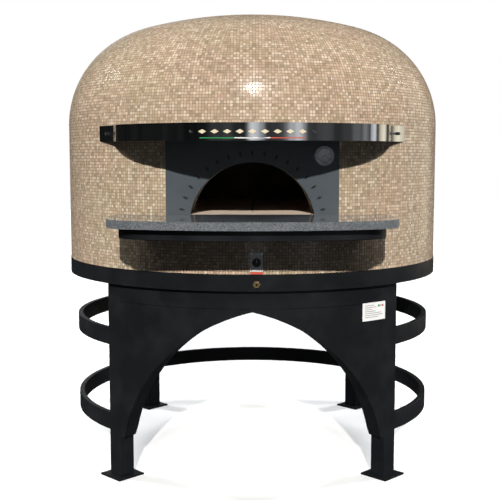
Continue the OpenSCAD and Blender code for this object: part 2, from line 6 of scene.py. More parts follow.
import bmesh
import bpy
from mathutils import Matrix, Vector

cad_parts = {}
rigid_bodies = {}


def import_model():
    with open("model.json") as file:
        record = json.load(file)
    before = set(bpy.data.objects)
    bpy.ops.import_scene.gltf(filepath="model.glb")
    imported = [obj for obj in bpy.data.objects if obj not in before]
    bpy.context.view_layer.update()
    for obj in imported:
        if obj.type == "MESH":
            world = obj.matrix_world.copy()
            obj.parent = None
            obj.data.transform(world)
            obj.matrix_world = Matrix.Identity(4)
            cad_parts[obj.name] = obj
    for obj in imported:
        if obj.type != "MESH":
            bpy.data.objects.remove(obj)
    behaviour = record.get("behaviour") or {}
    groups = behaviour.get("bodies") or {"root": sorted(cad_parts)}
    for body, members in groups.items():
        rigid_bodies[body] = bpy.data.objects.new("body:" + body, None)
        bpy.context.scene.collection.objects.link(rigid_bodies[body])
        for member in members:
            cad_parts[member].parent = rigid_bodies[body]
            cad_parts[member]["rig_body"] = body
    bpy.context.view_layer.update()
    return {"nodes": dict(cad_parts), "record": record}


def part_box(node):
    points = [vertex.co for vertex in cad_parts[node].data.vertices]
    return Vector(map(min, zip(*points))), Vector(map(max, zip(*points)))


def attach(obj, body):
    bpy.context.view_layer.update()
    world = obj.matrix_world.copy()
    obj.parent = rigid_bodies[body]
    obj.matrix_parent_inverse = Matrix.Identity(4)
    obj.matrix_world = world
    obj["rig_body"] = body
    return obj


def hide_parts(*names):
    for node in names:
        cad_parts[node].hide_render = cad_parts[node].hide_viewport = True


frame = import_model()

NODES = frame["nodes"]
MM = 0.001
SHARP_ANGLE = math.radians(32)

# ---------- sizes, in metres ----------

# Where the nodes are that the marks and the mosaic are laid on.
SKIN_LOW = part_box("mosaic_skin")[0]
FACADE_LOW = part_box("facade_plate")[0]
SHELF_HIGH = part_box("granite_shelf")[1]
HOOD_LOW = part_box("hood_band")[0]
PIPE_LOW, PIPE_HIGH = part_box("flue_pipe")
DIAL_LOW, DIAL_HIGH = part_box("thermometer_dial")
PLATE_LOW, PLATE_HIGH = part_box("control_plate")
LABEL_LOW, LABEL_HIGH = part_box("data_plate")

# The body's profile: a straight wall, a shoulder arc and a crown arc that meets it without a corner.
BODY_R = 0.840
SKIN_BASE = SKIN_LOW.z
WALL_TOP = 1.474
SHOULDER_R = 0.442
CROWN_R = 1.903
SHOULDER_X = BODY_R - SHOULDER_R
CROWN_LIFT = math.sqrt((CROWN_R - SHOULDER_R) ** 2 - SHOULDER_X ** 2)
CROWN_Z = WALL_TOP - CROWN_LIFT
WALL_LEN = WALL_TOP - SKIN_BASE
TOUCH = math.atan2(CROWN_LIFT, SHOULDER_X)
SHOULDER_LEN = SHOULDER_R * TOUCH
CROWN_LEN = CROWN_R * (math.pi / 2 - TOUCH)

# The facade's recess in the body, and the mouth in the facade.
CUT_HALF_W = math.sqrt(BODY_R ** 2 - FACADE_LOW.y ** 2)
CUT_TURN = math.asin(CUT_HALF_W / BODY_R)
CUT_LOW = FACADE_LOW.z
CUT_HIGH = 1.430
HEARTH_Z = SHELF_HIGH.z
MOUTH_R = 0.245
MOUTH_Z = HEARTH_Z - 0.043

# The hood seen from above: an arc, and straight ends that run back to the body.
HOOD_Z = 1.400
HOOD_ARC_HALF_W = 0.548
HOOD_HALF_W = 0.622
HOOD_END_DEPTH = 0.118
HOOD_TIP_Y = -math.sqrt(BODY_R ** 2 - HOOD_HALF_W ** 2)
HOOD_SAG = -HOOD_LOW.y + HOOD_TIP_Y - HOOD_END_DEPTH
HOOD_ARC_R = (HOOD_ARC_HALF_W ** 2 + HOOD_SAG ** 2) / (2 * HOOD_SAG)
HOOD_TILT = math.radians(0.5)

# The data plate: the radius of its curved face, and the angle of its middle from the front.
LABEL_R = 0.8143
LABEL_TURN = math.radians(37.5)

# Bright cards of the studio, which only polished surfaces mirror: bearing from the front towards the right in
# degrees, half width in degrees, brightness and tint.
COOL, WARM = (1.0, 1.03, 1.06), (1.10, 1.0, 0.76)
CARDS = [(-165, 12, 0.30, COOL), (-20, 14, 0.045, COOL), (3, 7, 0.75, COOL), (32, 9, 0.55, COOL),
         (93, 12, 0.20, COOL), (109, 6, 0.75, COOL), (128, 10, 1.45, WARM)]
DARK_LEFT, DARK_RIGHT = 0.012, 0.06

# The mosaic: pitch of the tiles, half width and depth of the joints, the least share of a tile that is laid
# at a cut, the width below which there is none, how deep and how unevenly the tiles sit, gores over the dome,
# and the gaps left for the flue and beside the plates.
TILE_PITCH = 0.0122
JOINT_HALF = 0.0009
JOINT_DEPTH = 0.0009
NARROWEST = 0.4
SLIVER = 0.0004
TILE_SINK = 0.0001
TILE_TILT = 0.00008
GORES = 24
FLUE_GAP_R = 0.116
CUT_MARGIN = 0.001

# How far marks stand proud of what they are on, and how thick they are.
PROUD_THIN, PROUD = 0.0002, 0.0006
MARK_T = 0.0004


# ---------- camera, light and floor ----------

def make_camera():
    """The photograph's view: from the front, a little below the hood's height, tilted slightly down."""
    tilt_down = 5.703
    data = bpy.data.cameras.new("camera")
    data.sensor_width = 36
    data.lens = 66.9
    data.shift_x = -0.0047
    camera = bpy.data.objects.new("camera", data)
    camera.location = (0, -4.374, 1.337)
    camera.rotation_euler = (math.radians(90 - tilt_down), 0, 0)
    bpy.context.scene.collection.objects.link(camera)
    bpy.context.scene.camera = camera


def sun_lamp(name, elevation, azimuth, strength, spread, colour, diffuse=True, glossy=True):
    """A lamp as far as the sun. Azimuth 0 stands in front of the mouth, and 90 to its right."""
    data = bpy.data.lights.new(name, "SUN")
    data.energy = strength
    data.angle = math.radians(spread)
    data.color = colour
    lamp = bpy.data.objects.new(name, data)
    e, a = math.radians(elevation), math.radians(azimuth)
    towards = Vector((math.sin(a) * math.cos(e), -math.cos(a) * math.cos(e), math.sin(e)))
    lamp.rotation_mode = "QUATERNION"
    lamp.rotation_quaternion = towards.to_track_quat("Z", "Y")
    lamp.visible_diffuse = diffuse
    lamp.visible_glossy = glossy
    bpy.context.scene.collection.objects.link(lamp)


def make_lamps():
    """A hard key light in front, a glint that only glossy surfaces show, and a soft lamp behind each side."""
    sun_lamp("key", elevation=24, azimuth=0, strength=4.2, spread=1.2,
             colour=(1.0, 0.965, 0.92), glossy=False)
    sun_lamp("glint", elevation=37, azimuth=1, strength=1.3, spread=3.0,
             colour=(1.0, 0.98, 0.95), diffuse=False)
    for side, azimuth in (("left", -118), ("right", 118)):
        sun_lamp("rear_" + side, elevation=30, azimuth=azimuth, strength=2.9, spread=12,
                 colour=(0.97, 0.98, 1.0), glossy=False)


def make_world(colour, strength):
    world = bpy.data.worlds.new("studio")
    world.use_nodes = True
    background = world.node_tree.nodes["Background"]
    background.inputs["Color"].default_value = (*colour, 1)
    background.inputs["Strength"].default_value = strength
    bpy.context.scene.world = world


def stage_drum(name, radius, height, material, seen_by):
    """A round wall far outside the object. Only one kind of ray meets it: seen_by is camera or glossy."""
    steps, foot = 96, -0.2
    mesh = bpy.data.meshes.new(name)
    ring = [(radius * math.sin(2 * math.pi * i / steps), -radius * math.cos(2 * math.pi * i / steps))
            for i in range(steps)]
    points = [(x, y, z) for z in (foot, height) for x, y in ring]
    faces = [(i, (i + 1) % steps, steps + (i + 1) % steps, steps + i) for i in range(steps)]
    mesh.from_pydata(points, [], faces)
    mesh.materials.append(material)
    drum = bpy.data.objects.new(name, mesh)
    bpy.context.scene.collection.objects.link(drum)
    drum.visible_camera = seen_by == "camera"
    drum.visible_glossy = seen_by == "glossy"
    drum.visible_diffuse = False
    drum.visible_transmission = False
    drum.visible_shadow = False


def white_backdrop():
    s = Shader("backdrop")
    s.put(base_color=(0, 0, 0), roughness=1.0, specular_ior_level=0.0, emission_color=(1, 1, 1),
          emission_strength=1.0)
    return s.material


def surroundings():
    """What polished metal mirrors: a dark room with bright cards, most of them on the right and in front."""
    s = Shader("surroundings")
    bearing = s.node("ShaderNodeTexGradient", gradient_type="RADIAL")
    turned = s.node("ShaderNodeMapping")
    turned.inputs["Rotation"].default_value = (0, 0, math.radians(90))
    s.link(s.coords, turned.inputs["Vector"])
    s.link(turned.outputs["Vector"], bearing.inputs["Vector"])
    levels = [(-180, DARK_LEFT, COOL)]
    for middle, half, bright, tint in CARDS:
        dark = DARK_LEFT if middle < 0 else DARK_RIGHT
        levels += [(middle - half, dark, COOL), (middle - half * 0.5, bright, tint),
                   (middle + half * 0.5, bright, tint), (middle + half, dark, COOL)]
    stops = [(0.5 + turn / 360, tuple(level * c for c in tint)) for turn, level, tint in levels]
    unevenness = s.noise(0.55, 4, vector=s.stretched((1, 1, 0.12)))
    streaks = s.ramp(unevenness, [(0.38, (0.55, 0.55, 0.56)), (0.62, (1.35, 1.33, 1.30))])
    s.put(base_color=(0, 0, 0), roughness=1.0, specular_ior_level=0.0, emission_strength=1.0,
          emission_color=s.mix(1.0, s.ramp(bearing.outputs["Fac"], stops), streaks, "MULTIPLY"))
    return s.material


def studio_floor():
    """Pale and matt, with a faint glow that keeps its shadows light."""
    s = Shader("studio_floor")
    s.put(base_color=s.mix(s.noise(9, 3), (0.80, 0.80, 0.79), (0.83, 0.83, 0.82)), roughness=0.8,
          specular_ior_level=0.2, emission_color=(0.96, 0.98, 1.0), emission_strength=0.34)
    return s.material


def make_floor(material):
    """A large floor just under the feet, which the camera sees and which catches the shadows."""
    mesh = bpy.data.meshes.new("floor")
    half = 30
    corners = [(-half, -half, 0), (half, -half, 0), (half, half, 0), (-half, half, 0)]
    mesh.from_pydata(corners, [], [(0, 1, 2, 3)])
    mesh.materials.append(material)
    floor = bpy.data.objects.new("floor", mesh)
    floor.location.z = -0.0005
    floor.visible_diffuse = False
    floor.visible_glossy = False
    bpy.context.scene.collection.objects.link(floor)


# ---------- materials ----------

class Shader:
    """A material's node tree, with short calls for the nodes that the looks need."""

    def __init__(self, name):
        self.material = bpy.data.materials.new(name)
        self.material.use_nodes = True
        self.tree = self.material.node_tree
        self.bsdf = self.tree.nodes["Principled BSDF"]
        self.coords = self.tree.nodes.new("ShaderNodeTexCoord").outputs["Object"]

    def node(self, kind, **values):
        made = self.tree.nodes.new(kind)
        for key, value in values.items():
            setattr(made, key, value)
        return made

    def link(self, source, target):
        self.tree.links.new(source, target)

    def stretched(self, scale):
        """Object coordinates, stretched for a grain that runs one way."""
        mapping = self.node("ShaderNodeMapping")
        self.link(self.coords, mapping.inputs["Vector"])
        mapping.inputs["Scale"].default_value = scale
        return mapping.outputs["Vector"]

    def noise(self, scale, detail=3.0, rough=0.55, vector=None):
        made = self.node("ShaderNodeTexNoise")
        self.link(vector or self.coords, made.inputs["Vector"])
        made.inputs["Scale"].default_value = scale
        made.inputs["Detail"].default_value = detail
        made.inputs["Roughness"].default_value = rough
        return made.outputs["Fac"]

    def cells(self, scale, vector=None):
        made = self.node("ShaderNodeTexVoronoi")
        self.link(vector or self.coords, made.inputs["Vector"])
        made.inputs["Scale"].default_value = scale
        return made

    def ramp(self, factor, stops, constant=False):
        """Colours over a factor: stops are (place, (r, g, b))."""
        made = self.node("ShaderNodeValToRGB")
        if constant:
            made.color_ramp.interpolation = "CONSTANT"
        elements = made.color_ramp.elements
        while len(elements) < len(stops):
            elements.new(1.0)
        for element, (place, colour) in zip(elements, stops):
            element.position = place
            element.color = (*colour, 1)
        self.link(factor, made.inputs["Fac"])
        return made.outputs["Color"]

    def mix(self, factor, a, b, how="MIX"):
        """Two colours, each an output or an (r, g, b), mixed by a factor, which is an output or a number."""
        made = self.node("ShaderNodeMix", data_type="RGBA", blend_type=how)
        for value, place in ((factor, 0), (a, 6), (b, 7)):
            if isinstance(value, tuple):
                made.inputs[place].default_value = (*value, 1)
            elif isinstance(value, (int, float)):
                made.inputs[place].default_value = value
            else:
                self.link(value, made.inputs[place])
        return made.outputs[2]

    def span(self, factor, low, high):
        """A factor from about 0.3 to 0.7, spread over low to high."""
        made = self.node("ShaderNodeMapRange")
        made.inputs["From Min"].default_value = 0.3
        made.inputs["From Max"].default_value = 0.7
        made.inputs["To Min"].default_value = low
        made.inputs["To Max"].default_value = high
        self.link(factor, made.inputs["Value"])
        return made.outputs["Result"]

    def bump(self, height, distance, strength=1.0):
        made = self.node("ShaderNodeBump")
        made.inputs["Strength"].default_value = strength
        made.inputs["Distance"].default_value = distance
        self.link(height, made.inputs["Height"])
        self.link(made.outputs["Normal"], self.bsdf.inputs["Normal"])

    def put(self, **values):
        """Sets the shader's sockets: colour, roughness, metallic and the rest, by output or constant."""
        for key, value in values.items():
            socket = self.bsdf.inputs[key.replace("_", " ").title().replace("Ior", "IOR")]
            if isinstance(value, tuple):
                socket.default_value = (*value, 1)
            elif isinstance(value, (int, float)):
                socket.default_value = value
            else:
                self.link(value, socket)
        return self


def powder_coat(name, colour, light_spots):
    """Satin powder coat with a fine orange peel, faint dust and a little scuffing."""
    s = Shader(name)
    dust = s.ramp(s.noise(7, 5), [(0.42, colour), (0.75, light_spots)])
    s.put(base_color=dust, roughness=s.span(s.noise(22, 4), 0.34, 0.46), specular_ior_level=0.36)
    s.bump(s.noise(1400, 1), 0.00012, 0.35)
    return s.material


def brushed(name, colour, rough, grain):
    """Metal with a grain: the scale's largest part runs across the grain."""
    s = Shader(name)
    lines = s.noise(1, 3, vector=s.stretched(grain))
    darker = tuple(c * 0.86 for c in colour)
    s.put(base_color=s.mix(lines, darker, colour), metallic=1.0,
          roughness=s.span(lines, rough * 0.8, rough * 1.25))
    s.bump(lines, 0.00003, 0.3)
    return s.material


def mirror_steel(name):
    """Bright polished sheet with the faint waviness and fine marks of a wiped surface."""
    s = Shader(name)
    wipes = s.noise(1, 4, vector=s.stretched((9, 9, 700)))
    s.put(base_color=(0.62, 0.63, 0.645), metallic=1.0, roughness=s.span(wipes, 0.05, 0.11))
    s.bump(s.noise(5, 2), 0.0012, 0.10)
    return s.material


def mosaic_glass():
    """Glazed tiles, each one in a tone of its own, with a slight cloudiness inside each tile."""
    s = Shader("mosaic_glass")
    tone = s.node("ShaderNodeAttribute", attribute_name="tone").outputs["Fac"]
    tones = [(0.0, (0.60, 0.44, 0.30)), (0.17, (0.50, 0.37, 0.25)), (0.36, (0.68, 0.52, 0.37)),
             (0.50, (0.56, 0.39, 0.275)), (0.64, (0.46, 0.335, 0.225)), (0.76, (0.76, 0.61, 0.46)),
             (0.86, (0.64, 0.46, 0.345)), (0.94, (0.39, 0.285, 0.19))]
    tiles = s.ramp(tone, tones, constant=True)
    patch = s.ramp(s.noise(3.2, 2), [(0.40, (0.97, 0.985, 1.02)), (0.60, (0.94, 1.01, 1.02))])
    cloud = s.ramp(s.noise(260, 3), [(0.3, (0.86, 0.86, 0.86)), (0.7, (1.06, 1.05, 1.04))])
    colour = s.mix(1.0, s.mix(1.0, tiles, patch, "MULTIPLY"), cloud, "MULTIPLY")
    s.put(base_color=colour, roughness=s.span(s.noise(160, 2), 0.18, 0.30), specular_ior_level=0.5,
          coat_weight=0.2, coat_roughness=0.10)
    s.bump(s.noise(420, 2), 0.0002, 0.25)
    return s.material


def joint_grout():
    s = Shader("joint_grout")
    sand = s.ramp(s.noise(60, 5), [(0.3, (0.17, 0.145, 0.105)), (0.7, (0.29, 0.25, 0.185))])
    s.put(base_color=sand, roughness=0.93)
    s.bump(s.noise(2600, 2), 0.0002, 0.5)
    return s.material


def granite(name, rough, lift):
    """Dark grey granite: a fine mix of grey, black and pale grains. lift makes a honed face paler."""
    s = Shader(name)
    grains = s.cells(520).outputs["Color"]
    split = s.node("ShaderNodeSeparateColor")
    s.link(grains, split.inputs["Color"])
    greys = [(0.0, (0.055, 0.063, 0.070)), (0.30, (0.088, 0.098, 0.107)), (0.62, (0.130, 0.143, 0.150)),
             (0.90, (0.22, 0.235, 0.245))]
    stone = s.ramp(split.outputs["Red"], greys, constant=True)
    shade, light = (0.90 * lift, 0.91 * lift, 0.93 * lift), (1.10 * lift,) * 3
    drift = s.ramp(s.noise(34, 5), [(0.35, shade), (0.65, light)])
    s.put(base_color=s.mix(1.0, stone, drift, "MULTIPLY"), roughness=rough)
    s.bump(split.outputs["Green"], 0.0001, 0.04 if rough < 0.2 else 0.35)
    return s.material


def fired_clay(name, light, dark, scale, rough=0.9):
    s = Shader(name)
    body = s.ramp(s.noise(scale, 6, 0.65), [(0.32, dark), (0.68, light)])
    pits = s.ramp(s.cells(scale * 22).outputs["Distance"], [(0.08, (0.72, 0.70, 0.68)), (0.22, (1, 1, 1))])
    s.put(base_color=s.mix(1.0, body, pits, "MULTIPLY"), roughness=rough)
    s.bump(s.noise(scale * 18, 5), 0.0008, 0.6)
    return s.material


def plain(name, colour, rough, metallic=0.0, speck=0.06):
    """A painted or moulded finish: faint mottling, a fine grain and slightly uneven gloss."""
    s = Shader(name)
    low = tuple(c * (1 - speck) for c in colour)
    s.put(base_color=s.mix(s.noise(90, 4), low, colour), metallic=metallic,
          roughness=s.span(s.noise(140, 3), rough * 0.88, rough * 1.12))
    s.bump(s.noise(1800, 1), 0.00005, 0.25)
    return s.material


def clear_glass():
    s = Shader("clear_glass")
    s.put(base_color=(0.93, 0.96, 0.97), roughness=0.015, ior=1.45, transmission_weight=1.0)
    s.bump(s.noise(40, 2), 0.0001, 0.05)
    return s.material


MATERIALS = {
    "black_paint": powder_coat("black_paint", (0.0085, 0.0095, 0.0112), (0.017, 0.018, 0.020)),
    "plate_white": plain("plate_white", (0.93, 0.94, 0.93), 0.35),
    "brass": brushed("brass", (0.83, 0.62, 0.30), 0.22, (300, 20, 300)),
    "floor_concrete": fired_clay("floor_concrete", (0.50, 0.49, 0.46), (0.38, 0.37, 0.35), 6),
    "insulation": fired_clay("insulation", (0.86, 0.84, 0.78), (0.74, 0.72, 0.66), 14, 0.97),
    "hearth_clay": fired_clay("hearth_clay", (0.93, 0.78, 0.64), (0.80, 0.64, 0.51), 9),
    # Near-black clay for the throat arch: painted shade, as dark as the shade inside the mouth.
    "painted_shade_clay": fired_clay("painted_shade_clay", (0.040, 0.036, 0.032), (0.018, 0.016, 0.014), 5),
    "refractory": fired_clay("refractory", (0.34, 0.27, 0.21), (0.16, 0.13, 0.105), 5),
    "render_shell": fired_clay("render_shell", (0.55, 0.52, 0.48), (0.44, 0.42, 0.38), 8),
    "mosaic_glass": mosaic_glass(),
    "facade_steel": powder_coat("facade_steel", (0.062, 0.075, 0.085), (0.073, 0.086, 0.095)),
    "duct_steel": brushed("duct_steel", (0.56, 0.57, 0.58), 0.28, (4, 4, 260)),
    "polished_steel": mirror_steel("polished_steel"),
    "hood_back": brushed("hood_back", (0.42, 0.43, 0.45), 0.36, (260, 6, 260)),
    "ornament_enamel": plain("ornament_enamel", (0.78, 0.70, 0.50), 0.32),
    "granite": granite("granite", 0.04, 1.25),
    "granite_honed": granite("granite_honed", 0.42, 1.25),
    "gauge_steel": brushed("gauge_steel", (0.17, 0.175, 0.185), 0.26, (260, 260, 20)),
    "dial_face": plain("dial_face", (0.25, 0.26, 0.29), 0.5),
    "needle_paint": plain("needle_paint", (0.22, 0.02, 0.015), 0.4),
    "gauge_glass": clear_glass(),
    "switch_plastic": plain("switch_plastic", (0.018, 0.018, 0.019), 0.45),
    "screw_steel": brushed("screw_steel", (0.66, 0.66, 0.67), 0.25, (300, 20, 300)),
    "marking_red": plain("marking_red", (0.60, 0.10, 0.07), 0.45),
    "ink": plain("ink", (0.020, 0.020, 0.022), 0.6),
    "label_grey": plain("label_grey", (0.42, 0.43, 0.44), 0.5),
    "stripe_green": plain("stripe_green", (0.03, 0.30, 0.10), 0.4),
}
GROUT = joint_grout()


# ---------- pieces ----------

def add_piece(name, mesh, slot, body="oven", replaces=(), material=None):
    """A new visible piece of the object, on a CAD body."""
    piece = bpy.data.objects.new(name, mesh)
    bpy.context.scene.collection.objects.link(piece)
    if not mesh.materials:
        mesh.materials.append(MATERIALS[material or slot])
    if replaces:
        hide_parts(*replaces)
    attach(piece, body)
    return piece


def mesh_from(bm, name):
    mesh = bpy.data.meshes.new(name)
    bm.to_mesh(mesh)
    bm.free()
    return mesh


def softened(node, width, slot, segments=2, material=None):
    """Stands for a CAD node: the same form, with its sharp edges rounded so that they catch the light."""
    bm = bmesh.new()
    bm.from_mesh(NODES[node].data)
    bmesh.ops.remove_doubles(bm, verts=bm.verts, dist=1e-5)
    bmesh.ops.dissolve_limit(bm, angle_limit=math.radians(0.4), verts=bm.verts, edges=bm.edges)
    for face in bm.faces:
        face.smooth = True
    mesh = mesh_from(bm, node + "_finish")
    mesh.set_sharp_from_angle(angle=SHARP_ANGLE)
    piece = add_piece(mesh.name, mesh, slot, NODES[node]["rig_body"], (node,), material)
    bevel = piece.modifiers.new("edges", "BEVEL")
    bevel.width = width
    bevel.segments = segments
    bevel.limit_method = "ANGLE"
    bevel.angle_limit = SHARP_ANGLE
    bevel.harden_normals = True
    return piece


# ---------- mosaic ----------

def skin_point(s, turn, depth):
    """A point of the skin: s the way up its profile, turn the angle from the mouth, depth below its face."""
    if s < WALL_LEN:
        r, z, out, up = BODY_R, SKIN_BASE + s, 1.0, 0.0
    elif s < WALL_LEN + SHOULDER_LEN:
        a = (s - WALL_LEN) / SHOULDER_R
        out, up = math.cos(a), math.sin(a)
        r, z = SHOULDER_X + SHOULDER_R * out, WALL_TOP + SHOULDER_R * up
    else:
        a = TOUCH + (s - WALL_LEN - SHOULDER_LEN) / CROWN_R
        out, up = math.cos(a), math.sin(a)
        r, z = CROWN_R * out, CROWN_Z + CROWN_R * up
    r, z = r - depth * out, z - depth * up
    return r * math.sin(turn), -r * math.cos(turn), z


def skin_radius(s):
    x, y, _ = skin_point(s, 0.0, 0.0)
    return max(-y, 1e-5)


def row_lines():
    """The heights of the joints, as ways up the profile. A joint meets each edge of the facade's recess."""
    marks = [0.0, CUT_LOW - SKIN_BASE, CUT_HIGH - SKIN_BASE, WALL_LEN + SHOULDER_LEN + CROWN_LEN - 1e-4]
    lines = [0.0]
    for low, high in zip(marks, marks[1:]):
        count = round((high - low) / TILE_PITCH)
        lines += [low + (high - low) * i / count for i in range(1, count + 1)]
    return lines


def even_turns(start, end):
    count = round((end - start) * BODY_R / TILE_PITCH)
    return [start + (end - start) * i / count for i in range(count + 1)]


def gore_turns(s, middle, half, columns):
    """The joints across one gore of the dome: a fixed pitch from its middle, cut off at its edges."""
    pitch = TILE_PITCH / skin_radius(s)
    turns = []
    for k in range(columns + 1):
        offset = (k - columns / 2) * pitch
        if abs(offset) > half - NARROWEST * pitch:
            offset = math.copysign(half, offset)
        turns.append(middle + offset)
    return turns


class TilePatch:
    """Rows of tiles over part of the skin, each with sloping sides down into the joints."""

    def __init__(self, rng):
        self.points, self.faces, self.tones, self.is_joint = [], [], [], []
        self.rng = rng

    def add_face(self, corners, tone, joint):
        self.faces.append(corners)
        self.tones.append(tone)
        self.is_joint.append(joint)

    def grid(self, rows, turns_at, wanted):
        start = len(self.points)
        lines = [turns_at(s) for s in rows]
        across = len(lines[0])
        for s, turns in zip(rows, lines):
            for turn in turns:
                self.points.append(skin_point(s, turn, JOINT_DEPTH))
        for j in range(len(rows) - 1):
            for k in range(across - 1):
                low, high = (lines[j][k], lines[j][k + 1]), (lines[j + 1][k], lines[j + 1][k + 1])
                first = start + j * across + k
                corners = (first, first + 1, first + 1 + across, first + across)
                self.tile((rows[j], rows[j + 1]), low, high, corners, wanted)

    def tile(self, rows, low, high, corners, wanted):
        middle_s = sum(rows) / 2
        middle_turn = (sum(low) + sum(high)) / 4
        width = (low[1] - low[0] + high[1] - high[0]) / 2 * skin_radius(middle_s)
        tone = self.rng.random()
        tilt_u, tilt_v = self.rng.gauss(0, TILE_TILT), self.rng.gauss(0, TILE_TILT)
        if width < SLIVER or not wanted(skin_point(middle_s, middle_turn, 0.0)):
            return
        height = rows[1] - rows[0]
        if width < 4 * JOINT_HALF:
            self.add_face(corners, tone, False)
            return
        u, v = JOINT_HALF / width, JOINT_HALF / height
        top = len(self.points)
        for su, sv in ((u, v), (1 - u, v), (1 - u, 1 - v), (u, 1 - v)):
            left = low[0] + (high[0] - low[0]) * sv
            right = low[1] + (high[1] - low[1]) * sv
            depth = TILE_SINK + tilt_u * (su - 0.5) * 2 + tilt_v * (sv - 0.5) * 2
            self.points.append(skin_point(rows[0] + height * sv, left + (right - left) * su, depth))
        self.add_face((top, top + 1, top + 2, top + 3), tone, False)
        for i in range(4):
            n = (i + 1) % 4
            self.add_face((corners[i], corners[n], top + n, top + i), tone, True)

    def finish(self, name, replaces=()):
        mesh = bpy.data.meshes.new(name)
        mesh.from_pydata(self.points, [], self.faces)
        mesh.materials.append(MATERIALS["mosaic_glass"])
        mesh.materials.append(GROUT)
        mesh.polygons.foreach_set("material_index", [int(j) for j in self.is_joint])
        tone = mesh.attributes.new("tone", "FLOAT", "FACE")
        tone.data.foreach_set("value", self.tones)
        bm = bmesh.new()
        bm.from_mesh(mesh)
        bmesh.ops.remove_doubles(bm, verts=bm.verts, dist=2e-6)
        bmesh.ops.delete(bm, geom=[v for v in bm.verts if not v.link_faces], context="VERTS")
        bm.to_mesh(mesh)
        bm.free()
        return add_piece(name, mesh, "mosaic_glass", replaces=replaces)


def tile_wanted(point):
    """False inside the facade's recess, behind the control plate and under the flue's flange."""
    x, y, z = point
    if y < 0 and abs(x) < CUT_HALF_W - CUT_MARGIN and CUT_LOW < z < CUT_HIGH:
        return False
    behind_plate = PLATE_LOW.x + CUT_MARGIN < x < PLATE_HIGH.x - CUT_MARGIN and PLATE_LOW.z < z < PLATE_HIGH.z
    if y < 0 and behind_plate:
        return False
    flue_y = (PIPE_LOW.y + PIPE_HIGH.y) / 2
    return math.hypot(x, y - flue_y) > FLUE_GAP_R or z < WALL_TOP


def make_mosaic():
    """Four pieces round the wall, on one even grid, and four over the dome, each of six gores."""
    rng = random.Random(12)
    rows = row_lines()
    knee = next(i for i, s in enumerate(rows) if s > WALL_LEN)
    wall_rows, dome_rows = rows[:knee + 1], rows[knee:]
    turns = even_turns(-CUT_TURN, CUT_TURN)[:-1] + even_turns(CUT_TURN, 2 * math.pi - CUT_TURN)
    quarter = (len(turns) - 1) / 4
    names = ("front", "right", "rear", "left")
    for i, side in enumerate(names):
        first, last = round(quarter * i), round(quarter * (i + 1))
        part = turns[first:last + 1]
        patch = TilePatch(rng)
        patch.grid(wall_rows, lambda s, part=part: part, tile_wanted)
        patch.finish("mosaic_wall_" + side, ("mosaic_skin",) if i == 0 else ())
    half = math.pi / GORES
    columns = 2 * math.ceil(half * BODY_R / TILE_PITCH)
    for i, side in enumerate(names):
        patch = TilePatch(rng)
        for g in range(GORES // 4):
            middle = 2 * (i * GORES // 4 + g) * half - math.pi / 4
            patch.grid(dome_rows, lambda s, m=middle: gore_turns(s, m, half, columns), tile_wanted)
        patch.finish("mosaic_dome_" + side)


# ---------- carried-over and softened nodes ----------

def dress_nodes():
    """Every CAD node takes its record slot's material."""
    slots = {part["node"]: part["material_slot"] for part in frame["record"]["subparts"]}
    for name, node in NODES.items():
        node.data.materials.clear()
        node.data.materials.append(MATERIALS[slots[name]])
    return slots


# Nodes whose visible finish differs from the rest of their record slot. The throat arch gets near-black clay,
# which is painted shade round the mouth.
OTHER_FINISH = {"throat_arch": "painted_shade_clay", "hood_top": "hood_back"}


def soften_nodes(slots):
    """Rounds the sharp edges that show. The widths are in millimetres."""
    widths = {
        "base_ring": 1.5, "shelf_frame": 3, "facade_plate": 0.8, "brass_port": 0.6,
        "apron_band": 0.8, "apron_outer": 0.8, "apron_inner": 0.8, "data_plate": 0.3,
        "control_plate": 0.6, "control_knob": 0.8, "thermometer_bezel": 0.7, "thermometer_case": 0.5,
        "plate_screws": 0.3, "dome_nuts": 0.7, "hood_ornaments": 0.4, "marking_strip": 0.2,
        "hood_band": 0.6, "hood_top": 0.6, "flue_pipe": 0.6, "flue_flange": 1.5,
        "throat_floor": 3, "throat_arch": 3,
    }
    for corner in ("front_left", "front_right", "rear_left", "rear_right"):
        widths["leg_" + corner] = 4
        widths["foot_" + corner] = 1.5
        widths["hearth_tile_" + corner] = 2
    for level in ("upper", "lower"):
        for side in ("left", "rear", "right"):
            widths[f"rail_{level}_{side}"] = 2
    for node, width in widths.items():
        softened(node, width * MM, slots[node], material=OTHER_FINISH.get(node))


def make_shelf():
    """The granite slab: a polished top and honed edges, with an eased arris all round."""
    stone = softened("granite_shelf", 3 * MM, "granite", segments=3)
    stone.data.materials.append(MATERIALS["granite_honed"])
    polished, honed = 0, 1
    for face in stone.data.polygons:
        face.material_index = polished if face.normal.z > 0.9 else honed
    stone.modifiers["edges"].material = honed


# ---------- small pieces ----------

def slab(bm, outline, depth, place):
    """A thin plate from depth 0 back to depth. place turns (u, v, depth) into a point."""
    front = [bm.verts.new(place(u, v, 0.0)) for u, v in outline]
    back = [bm.verts.new(place(u, v, depth)) for u, v in outline]
    bm.faces.new(front)
    bm.faces.new(back[::-1])
    count = len(outline)
    for i in range(count):
        n = (i + 1) % count
        bm.faces.new((front[n], front[i], back[i], back[n]))


def strip_outline(u0, u1, v0, v1, steps):
    """A rectangle with enough points along u to follow a curve."""
    us = [u0 + (u1 - u0) * i / steps for i in range(steps + 1)]
    return [(u, v0) for u in us] + [(u, v1) for u in reversed(us)]


def lozenge(u, v, half_u, half_v, turn):
    c, s = math.cos(turn), math.sin(turn)
    corners = ((-half_u, 0), (0, -half_v), (half_u, 0), (0, half_v))
    return [(u + a * c - b * s, v + a * s + b * c) for a, b in corners]


def disc_outline(u, v, r, sides=24):
    return [(u + r * math.cos(2 * math.pi * i / sides), v + r * math.sin(2 * math.pi * i / sides))
            for i in range(sides)]


